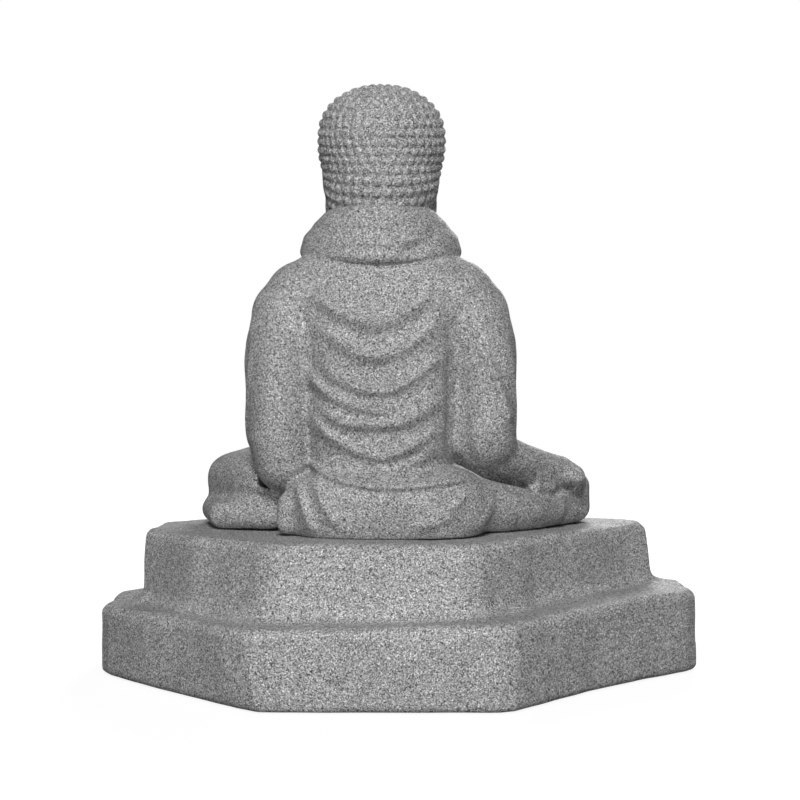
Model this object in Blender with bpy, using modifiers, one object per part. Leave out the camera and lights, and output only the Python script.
"""Hollow garden Buddha statue in granite-look resin: a two-tier plinth, a seated figure and a head.

The three shells are moulded apart. The head drops into a socket inside the cowl collar and is drawn
down by a stud and nut, the figure is bolted to the plinth's deck from below, and a plate closes the
plinth, with a push-in plug in it through which the owner pours sand for ballast.

Metres, +Z up. The origin is the middle of the plinth's footprint, on the ground. The figure faces -Y,
so its left hand is on the +X side.
"""

import math

import bmesh
import bpy
from mathutils import Matrix, Vector

# ---- Driving dimensions ----------------------------------------------------------------------
LOWER_TOP = 0.078           # top of the lower tier
DECK = 0.150                # top of the upper tier, where the figure sits
RIM_WALL = 0.018            # wall of the lower tier below the closing plate
SHELF_WALL = 0.034          # thicker wall above the plate, which its screws bite into
SHELF_UNDERSIDE = 0.048
LEDGE_THICKNESS = 0.010
UPPER_WALL = 0.014
TIER_ROUNDING = 0.011       # radius on the plinth's edges
GAP = 0.0003                # clearance between neighbouring pieces
FIGURE_WALL = 0.009
FIGURE_FLOOR = 0.012        # thickness of the figure's floor
FIGURE_BASE = DECK + GAP
TORSO_X = 0.020             # the torso stands left of the plinth's middle
TORSO_Y = 0.075
HEAD_Y = 0.060
HEAD_ROOM = 0.0025          # clearance between the head and the collar round it
SOCKET_RADIUS = 0.034
SOCKET_FLOOR = 0.428
SOCKET_WEB = 0.014          # thickness of the web that the neck stud passes through

# ---- Plan of the plinth ----------------------------------------------------------------------
# Corners from the left side (+X) round the back to the right side, then round the front. The right
# side stands further forward than the left, and its diagonal faces carry a shallow hollow.
LOWER_PLAN = [(0.312, 0.058), (0.160, 0.214), (0.130, 0.229), (-0.098, 0.229), (-0.178, 0.142),
              (-0.202, 0.126), (-0.312, 0.038), (-0.312, -0.048), (-0.200, -0.134), (-0.180, -0.156),
              (-0.104, -0.229), (0.114, -0.229), (0.198, -0.150), (0.312, -0.052)]
UPPER_PLAN = [(0.274, 0.030), (0.214, 0.108), (0.130, 0.190), (-0.072, 0.190), (-0.126, 0.112),
              (-0.146, 0.092), (-0.276, -0.030), (-0.276, -0.070), (-0.172, -0.125), (-0.090, -0.188),
              (0.096, -0.188), (0.172, -0.126), (0.274, -0.044)]


def inset(outline, distance):
    """The outline moved inwards by a distance, each corner along its own bisector."""
    moved = []
    for index, corner in enumerate(outline):
        before = Vector(corner) - Vector(outline[index - 1])
        after = Vector(outline[(index + 1) % len(outline)]) - Vector(corner)
        normals = [Vector((-edge.y, edge.x)).normalized() for edge in (before, after)]
        bisector = (normals[0] + normals[1]).normalized()
        moved.append(tuple(Vector(corner) + bisector * distance / bisector.dot(normals[0])))
    return moved


# ---- Masses of the figure and the head: balls (centre, radii) and limbs (start, end, radii) ----
TORSO = [
    ("ball", (0.012, 0.066, 0.186), (0.112, 0.090, 0.056)),          # hips and skirt
    ("ball", (0.066, 0.090, 0.170), (0.062, 0.066, 0.054)),
    ("ball", (-0.040, 0.090, 0.170), (0.058, 0.066, 0.054)),
    ("ball", (TORSO_X, TORSO_Y, 0.262), (0.090, 0.070, 0.114)),      # waist
    ("ball", (TORSO_X, TORSO_Y, 0.362), (0.106, 0.070, 0.086)),      # chest and shoulder blades
    ("limb", (0.094, TORSO_Y, 0.386), (-0.054, TORSO_Y, 0.386), 0.044, 0.044),   # shoulders
]
ARMS = [
    ("limb", (0.114, 0.080, 0.362), (0.124, 0.088, 0.222), 0.038, 0.032),        # left upper arm
    ("limb", (0.126, 0.080, 0.222), (0.072, -0.058, 0.216), 0.031, 0.024),       # left forearm
    ("limb", (-0.074, 0.080, 0.362), (-0.083, 0.090, 0.252), 0.038, 0.033),      # right upper arm
    ("limb", (-0.086, 0.084, 0.238), (-0.160, 0.000, 0.214), 0.033, 0.026),      # right forearm
    ("limb", (-0.150, 0.012, 0.212), (-0.176, -0.062, 0.196), 0.025, 0.014),     # right hand
    ("ball", (-0.146, 0.038, 0.206), (0.043, 0.054, 0.027)),                     # draped sleeve
    ("ball", (0.020, -0.080, 0.222), (0.060, 0.034, 0.018)),                     # left hand in the lap
]
LEGS = [
    ("ball", (0.164, -0.022, 0.178), (0.054, 0.092, 0.046)),         # left knee
    ("ball", (-0.154, -0.016, 0.172), (0.055, 0.088, 0.038)),        # right knee
    ("limb", (0.150, -0.060, 0.180), (-0.070, -0.118, 0.176), 0.040, 0.030),     # left shin
    ("limb", (-0.140, -0.060, 0.176), (0.090, -0.112, 0.172), 0.036, 0.030),     # right shin
    ("ball", (0.010, -0.040, 0.180), (0.150, 0.100, 0.030)),         # lap
]
COLLAR_CENTRE = (TORSO_X, 0.068, 0.446)
COLLAR_RADIUS = 0.050       # from the neck's axis to the middle of the roll
COLLAR_ROLL = 0.032         # radius of the roll, at the back of the neck
COLLAR_LOBES = 20
HEAD = [
    ("ball", (TORSO_X, HEAD_Y, 0.546), (0.066, 0.073, 0.064)),       # skull and curls
    ("ball", (TORSO_X, HEAD_Y + 0.004, 0.510), (0.060, 0.066, 0.044)),   # nape
    ("ball", (TORSO_X, 0.030, 0.510), (0.052, 0.052, 0.056)),        # face
    ("ball", (TORSO_X, 0.018, 0.478), (0.034, 0.036, 0.028)),        # chin
    ("ball", (TORSO_X - 0.058, 0.050, 0.498), (0.010, 0.014, 0.036)),    # right ear
    ("ball", (TORSO_X + 0.058, 0.050, 0.498), (0.010, 0.014, 0.036)),    # left ear
    ("limb", (TORSO_X, 0.066, 0.500), (TORSO_X, 0.068, 0.466), 0.046, 0.042),    # neck
]
HEAD_CORE = [
    ("ball", (TORSO_X, HEAD_Y, 0.546), (0.057, 0.062, 0.056)),
    ("ball", (TORSO_X, 0.052, 0.508), (0.042, 0.044, 0.034)),
]

# ---- Fasteners -------------------------------------------------------------------------------
BOLT_SPOTS = [(TORSO_X + x, 0.020 + y) for x in (-0.050, 0.050) for y in (-0.052, 0.052)]
HAND_HOLE_RADIUS = 0.034    # in the figure's floor, to reach the neck nut
INSERT_RADIUS, INSERT_LENGTH = 0.0055, 0.0105
BOLT_RADIUS, BOLT_HEAD_RADIUS, BOLT_HEAD = 0.003, 0.0058, 0.004
WASHER_RADIUS, WASHER = 0.009, 0.0016
SCREW_RADIUS, SCREW_LENGTH, SCREW_HEAD_RADIUS, SCREW_HEAD = 0.002, 0.018, 0.0042, 0.0026
STUD_RADIUS, STUD_TOP, STUD_BOTTOM = 0.004, 0.462, 0.392
NECK_WASHER_RADIUS, NECK_NUT = 0.014, 0.0065
PLATE = 0.006
PLATE_TOP = SHELF_UNDERSIDE - GAP
PLATE_BOTTOM = PLATE_TOP - PLATE
PLUG_SPOT = (0.0, -0.060)
PLUG_HOLE_RADIUS, PLUG_NECK = 0.026, 0.014
PLUG_FLANGE_RADIUS, PLUG_FLANGE, PLUG_SEAL = 0.033, 0.003, 0.002
PLUG_WALL = 0.004
GRIP = (0.044, 0.006, 0.006)
FASTENER_STEPS = 12

# ---- Colours, roughness and metallic value of each material -----------------------------------
MATERIALS = {
    "granite_resin": ((0.33, 0.33, 0.33), 0.88, 0.0),
    "black_resin": ((0.05, 0.05, 0.05), 0.6, 0.0),
    "rubber": ((0.03, 0.03, 0.03), 0.8, 0.0),
    "stainless": ((0.62, 0.62, 0.60), 0.3, 1.0),
    "brass": ((0.72, 0.53, 0.25), 0.35, 1.0),
}


def clear_scene():
    for obj in list(bpy.data.objects):
        bpy.data.objects.remove(obj)


def collection(name):
    found = bpy.data.collections.new(name)
    bpy.context.scene.collection.children.link(found)
    return found


def material(name):
    found = bpy.data.materials.get(name)
    if found:
        return found
    colour, roughness, metallic = MATERIALS[name]
    made = bpy.data.materials.new(name)
    made.use_nodes = True
    shader = made.node_tree.nodes["Principled BSDF"]
    shader.inputs["Base Color"].default_value = (*colour, 1.0)
    shader.inputs["Roughness"].default_value = roughness
    shader.inputs["Metallic"].default_value = metallic
    return made


def part(name, bm, finish):
    """A bmesh as a named piece of the statue."""
    mesh = bpy.data.meshes.new(name)
    bm.to_mesh(mesh)
    bm.free()
    mesh.materials.append(material(finish))
    mesh.shade_smooth()
    mesh.set_sharp_from_angle(angle=math.radians(35))
    obj = bpy.data.objects.new(name, mesh)
    STATUE.objects.link(obj)
    return obj


def as_cutter(obj):
    """Moves a piece to the cutters, which aren't part of the statue."""
    STATUE.objects.unlink(obj)
    CUTTERS.objects.link(obj)
    obj.hide_render = True
    obj.display_type = "WIRE"
    return obj


def combine(obj, other, operation):
    boolean = obj.modifiers.new(f"{operation.lower()} {other.name}", "BOOLEAN")
    boolean.operation = operation
    boolean.object = other


def cut(obj, *others):
    for other in others:
        combine(obj, as_cutter(other), "DIFFERENCE")


def join(obj, *others):
    for other in others:
        combine(obj, as_cutter(other), "UNION")


# ---- Basic shapes ----------------------------------------------------------------------------
def prism(name, outline, bottom, top, finish="granite_resin"):
    """A flat outline raised from one height to another."""
    bm = bmesh.new()
    face = bm.faces.new([bm.verts.new((x, y, bottom)) for x, y in outline])
    raised = bmesh.ops.extrude_face_region(bm, geom=[face])["geom"]
    corners = [item for item in raised if isinstance(item, bmesh.types.BMVert)]
    bmesh.ops.translate(bm, verts=corners, vec=(0, 0, top - bottom))
    bmesh.ops.recalc_face_normals(bm, faces=bm.faces)
    return part(name, bm, finish)


def cylinder(name, spot, radius, bottom, top, finish="granite_resin", steps=24):
    bm = bmesh.new()
    place = Matrix.Translation((spot[0], spot[1], (bottom + top) / 2))
    bmesh.ops.create_cone(bm, cap_ends=True, segments=steps, radius1=radius, radius2=radius,
                          depth=top - bottom, matrix=place)
    return part(name, bm, finish)


def turned(name, profile, spot, finish, steps=FASTENER_STEPS):
    """A profile of (radius, height) points, top to bottom, turned about a vertical axis."""
    bm = bmesh.new()
    points = [bm.verts.new((radius, 0, height)) for radius, height in profile]
    for first, second in zip(points, points[1:]):
        bm.edges.new((first, second))
    if profile[0][0] > 0:       # a ring's profile closes on itself
        bm.edges.new((points[-1], points[0]))
    obj = part(name, bm, finish)
    obj.location = (spot[0], spot[1], 0)
    screw = obj.modifiers.new("turn", "SCREW")
    screw.axis = "Z"
    screw.steps = screw.render_steps = steps
    screw.use_merge_vertices = True
    screw.merge_threshold = 0.00001
    return obj


def ring(name, spot, inner, outer, bottom, top, finish, steps=16):
    profile = [(inner, top), (outer, top), (outer, bottom), (inner, bottom)]
    return turned(name, profile, spot, finish, steps)


def add_ball(bm, centre, radii):
    place = Matrix.Translation(centre) @ Matrix.Diagonal((*radii, 1))
    bmesh.ops.create_uvsphere(bm, u_segments=24, v_segments=14, radius=1, matrix=place)


def add_limb(bm, start, end, start_radius, end_radius):
    """A tapered limb with round ends."""
    start, end = Vector(start), Vector(end)
    along = end - start
    turn = along.to_track_quat("Z", "Y").to_matrix().to_4x4()
    place = Matrix.Translation((start + end) / 2) @ turn
    bmesh.ops.create_cone(bm, cap_ends=True, segments=24, radius1=start_radius,
                          radius2=end_radius, depth=along.length, matrix=place)
    add_ball(bm, start, (start_radius,) * 3)
    add_ball(bm, end, (end_radius,) * 3)


def modelled(name, masses, grow, voxel, keep, finish="granite_resin"):
    """Balls and limbs run together into one skin. Each radius grows by grow, and keep is the share
    of the skin's faces that stays."""
    bm = bmesh.new()
    for kind, first, second, *radii in masses:
        if kind == "ball":
            add_ball(bm, first, [radius + grow for radius in second])
        else:
            add_limb(bm, first, second, *[radius + grow for radius in radii])
    obj = part(name, bm, finish)
    skin = obj.modifiers.new("skin", "REMESH")
    skin.mode = "VOXEL"
    skin.voxel_size = voxel
    smooth = obj.modifiers.new("soften", "SMOOTH")
    smooth.factor = 0.5
    smooth.iterations = 5
    thin = obj.modifiers.new("thin out", "DECIMATE")
    thin.ratio = keep
    return obj


# ---- Plinth ----------------------------------------------------------------------------------
def plinth_shell():
    shell = prism("plinth_shell", LOWER_PLAN, 0, LOWER_TOP)
    join(shell, prism("upper_tier", UPPER_PLAN, LOWER_TOP - 0.02, DECK))
    rounding = shell.modifiers.new("rounding", "BEVEL")
    rounding.width = TIER_ROUNDING
    rounding.segments = 3
    rounding.limit_method = "ANGLE"
    rounding.angle_limit = math.radians(15)
    under = prism("space_under_plate", inset(LOWER_PLAN, RIM_WALL), -0.02, SHELF_UNDERSIDE)
    lower = prism("lower_space", inset(LOWER_PLAN, SHELF_WALL), SHELF_UNDERSIDE - 0.005,
                  LOWER_TOP - LEDGE_THICKNESS)
    upper = prism("upper_space", inset(UPPER_PLAN, UPPER_WALL), LOWER_TOP - LEDGE_THICKNESS - 0.005,
                  DECK - LEDGE_THICKNESS)
    cut(shell, under, lower, upper)
    for number, spot in enumerate(BOLT_SPOTS, 1):
        cut(shell, cylinder(f"deck_hole_{number}", spot, BOLT_RADIUS + 2 * GAP, DECK - 0.02,
                            DECK + 0.01, steps=FASTENER_STEPS))
    for number, spot in enumerate(plate_screw_spots(), 1):
        cut(shell, cylinder(f"screw_seat_{number}", spot, SCREW_RADIUS + GAP, SHELF_UNDERSIDE - 0.01,
                            SHELF_UNDERSIDE + SCREW_LENGTH - PLATE + 0.001, steps=FASTENER_STEPS))
    return shell


def plate_screw_spots():
    """The middle of the shelf, halfway along each of the lower tier's eight long sides."""
    line = inset(LOWER_PLAN, (RIM_WALL + SHELF_WALL) / 2)
    count = len(line)
    spots = []
    for index in (0, 2, 5, 6, 7, 10, 12, 13):
        start, end = Vector(line[index]), Vector(line[(index + 1) % count])
        spots.append(tuple(start.lerp(end, 0.5)))
    return spots


def base_plate():
    plate = prism("base_plate", inset(LOWER_PLAN, RIM_WALL + 2 * GAP), PLATE_BOTTOM, PLATE_TOP,
                  "black_resin")
    join(plate, cylinder("plug_neck", PLUG_SPOT, PLUG_HOLE_RADIUS + 0.005, PLATE_BOTTOM + 0.002,
                         PLATE_TOP + PLUG_NECK, "black_resin", steps=32))
    cut(plate, cylinder("plug_hole", PLUG_SPOT, PLUG_HOLE_RADIUS, PLATE_BOTTOM - 0.01,
                        PLATE_TOP + PLUG_NECK + 0.01, steps=32))
    for number, spot in enumerate(plate_screw_spots(), 1):
        cut(plate, cylinder(f"plate_hole_{number}", spot, SCREW_RADIUS + GAP, PLATE_BOTTOM - 0.01,
                            PLATE_TOP + 0.01, steps=FASTENER_STEPS))


def plate_screws():
    head_top = PLATE_BOTTOM - GAP
    profile = [(0, head_top + SCREW_LENGTH), (SCREW_RADIUS * 0.4, head_top + SCREW_LENGTH),
               (SCREW_RADIUS, head_top + SCREW_LENGTH - 0.003), (SCREW_RADIUS, head_top),
               (SCREW_HEAD_RADIUS, head_top), (SCREW_HEAD_RADIUS * 0.8, head_top - SCREW_HEAD),
               (0, head_top - SCREW_HEAD)]
    for number, spot in enumerate(plate_screw_spots(), 1):
        turned(f"plate_screw_{number}", profile, spot, "stainless")


def fill_plug():
    """A push-in cup with a flange, and a bar across its underside to pull it by."""
    top = PLATE_TOP + PLUG_NECK - 0.003
    flange_top = PLATE_BOTTOM - PLUG_SEAL - 2 * GAP
    flange_bottom = flange_top - PLUG_FLANGE
    outer = PLUG_HOLE_RADIUS - GAP
    profile = [(0, flange_top), (outer - PLUG_WALL, flange_top), (outer - PLUG_WALL, top),
               (outer - 0.001, top), (outer, top - 0.002), (outer, flange_top),
               (PLUG_FLANGE_RADIUS, flange_top), (PLUG_FLANGE_RADIUS, flange_bottom),
               (0, flange_bottom)]
    plug = turned("fill_plug", profile, PLUG_SPOT, "black_resin", steps=32)
    width, depth, height = GRIP
    bm = bmesh.new()
    place = Matrix.Translation((PLUG_SPOT[0], PLUG_SPOT[1], flange_bottom - height / 2 + 0.001))
    bmesh.ops.create_cube(bm, size=1, matrix=place @ Matrix.Diagonal((width, depth, height + 0.002, 1)))
    join(plug, part("plug_grip", bm, "black_resin"))
    ring("plug_seal", PLUG_SPOT, outer + 2 * GAP, PLUG_FLANGE_RADIUS - 0.001, flange_top + GAP,
         PLATE_BOTTOM - GAP, "rubber", steps=32)


# ---- Figure ----------------------------------------------------------------------------------
def collar_masses():
    """The rolled cowl round the neck, as short limbs from one point of its circle to the next."""
    centre = Vector(COLLAR_CENTRE)
    points = []
    for step in range(COLLAR_LOBES + 1):
        angle = math.tau * step / COLLAR_LOBES
        front = max(-math.sin(angle), 0)
        fall = 0.004 * (1 - math.sin(angle)) + 0.030 * front ** 1.6   # it drops and thins at the front
        point = centre + Vector((math.cos(angle), math.sin(angle), 0)) * COLLAR_RADIUS
        points.append((point - Vector((0, 0, fall)), COLLAR_ROLL * (1 - 0.35 * front)))
    return [("limb", start, end, roll, next_roll)
            for (start, roll), (end, next_roll) in zip(points, points[1:])]


def box_below(name, height):
    bm = bmesh.new()
    place = Matrix.Translation((0, 0, height - 0.15)) @ Matrix.Diagonal((0.8, 0.8, 0.3, 1))
    bmesh.ops.create_cube(bm, size=1, matrix=place)
    return part(name, bm, "granite_resin")


def figure_shell():
    masses = TORSO + ARMS + LEGS + collar_masses()
    figure = modelled("figure_shell", masses, 0.001, 0.006, 0.13)
    cut(figure, box_below("below_figure", FIGURE_BASE))
    hollow = modelled("figure_space", TORSO + ARMS[:4:2] + LEGS, -FIGURE_WALL, 0.010, 0.3)
    cut(hollow, box_below("below_space", FIGURE_BASE + FIGURE_FLOOR))
    cut(hollow, cylinder("socket_mass", (TORSO_X, 0.068), SOCKET_RADIUS + 0.012,
                         SOCKET_FLOOR - SOCKET_WEB, 0.6))
    cut(figure, hollow)
    cut(figure, modelled("head_room", HEAD, HEAD_ROOM, 0.005, 0.2))
    cut(figure, cylinder("neck_socket", (TORSO_X, 0.068), SOCKET_RADIUS + GAP, SOCKET_FLOOR, 0.56))
    cut(figure, cylinder("stud_hole", (TORSO_X, 0.068), STUD_RADIUS + GAP, STUD_BOTTOM,
                         SOCKET_FLOOR + 0.01, steps=FASTENER_STEPS))
    cut(figure, cylinder("hand_hole", (TORSO_X, 0.030), HAND_HOLE_RADIUS, FIGURE_BASE - 0.01,
                         FIGURE_BASE + FIGURE_FLOOR + 0.01))
    for number, spot in enumerate(BOLT_SPOTS, 1):
        cut(figure, cylinder(f"insert_hole_{number}", spot, INSERT_RADIUS + GAP, FIGURE_BASE - 0.01,
                             FIGURE_BASE + INSERT_LENGTH + GAP, steps=FASTENER_STEPS))


def figure_fasteners():
    """At each spot an insert in the figure's floor, and a bolt and washer that come up from below."""
    under_deck = DECK - LEDGE_THICKNESS
    for number, spot in enumerate(BOLT_SPOTS, 1):
        ring(f"figure_insert_{number}", spot, BOLT_RADIUS + GAP, INSERT_RADIUS, FIGURE_BASE + GAP,
             FIGURE_BASE + INSERT_LENGTH, "brass")
        washer_bottom = under_deck - GAP - WASHER
        ring(f"figure_washer_{number}", spot, BOLT_RADIUS + 2 * GAP, WASHER_RADIUS, washer_bottom,
             under_deck - GAP, "stainless")
        seat = washer_bottom - GAP
        tip = FIGURE_BASE + INSERT_LENGTH - 0.001
        profile = [(0, tip), (BOLT_RADIUS * 0.7, tip), (BOLT_RADIUS, tip - 0.001), (BOLT_RADIUS, seat),
                   (BOLT_HEAD_RADIUS, seat), (BOLT_HEAD_RADIUS, seat - BOLT_HEAD),
                   (0, seat - BOLT_HEAD)]
        turned(f"figure_bolt_{number}", profile, spot, "stainless", steps=FASTENER_STEPS)


# ---- Head ------------------------------------------------------------------------------------
def head_shell():
    head = modelled("head_shell", HEAD, 0, 0.005, 0.2)
    join(head, cylinder("neck_spigot", (TORSO_X, 0.068), SOCKET_RADIUS - GAP, SOCKET_FLOOR + GAP, 0.500))
    cut(head, modelled("head_space", HEAD_CORE, 0, 0.008, 0.4))
    cut(head, cylinder("stud_seat", (TORSO_X, 0.068), STUD_RADIUS + GAP, SOCKET_FLOOR - 0.01, 0.500,
                       steps=FASTENER_STEPS))


def neck_fasteners():
    spot = (TORSO_X, 0.068)
    web_bottom = SOCKET_FLOOR - SOCKET_WEB
    profile = [(0, STUD_TOP), (STUD_RADIUS * 0.75, STUD_TOP), (STUD_RADIUS, STUD_TOP - 0.001),
               (STUD_RADIUS, STUD_BOTTOM + 0.001), (STUD_RADIUS * 0.75, STUD_BOTTOM), (0, STUD_BOTTOM)]
    turned("neck_stud", profile, spot, "stainless")
    washer_bottom = web_bottom - GAP - WASHER
    ring("neck_washer", spot, STUD_RADIUS + GAP, NECK_WASHER_RADIUS, washer_bottom, web_bottom - GAP,
         "stainless")
    bm = bmesh.new()
    place = Matrix.Translation((*spot, washer_bottom - GAP - NECK_NUT / 2))
    bmesh.ops.create_cone(bm, cap_ends=True, segments=6, radius1=0.0075, radius2=0.0075, depth=NECK_NUT,
                          matrix=place)
    nut = part("neck_nut", bm, "stainless")
    cut(nut, cylinder("nut_thread", spot, STUD_RADIUS + GAP, washer_bottom - 0.02, washer_bottom + 0.01,
                      steps=FASTENER_STEPS))


clear_scene()
STATUE = collection("buddha_statue")
CUTTERS = collection("cutters")
plinth_shell()
base_plate()
plate_screws()
fill_plug()
figure_shell()
figure_fasteners()
head_shell()
neck_fasteners()
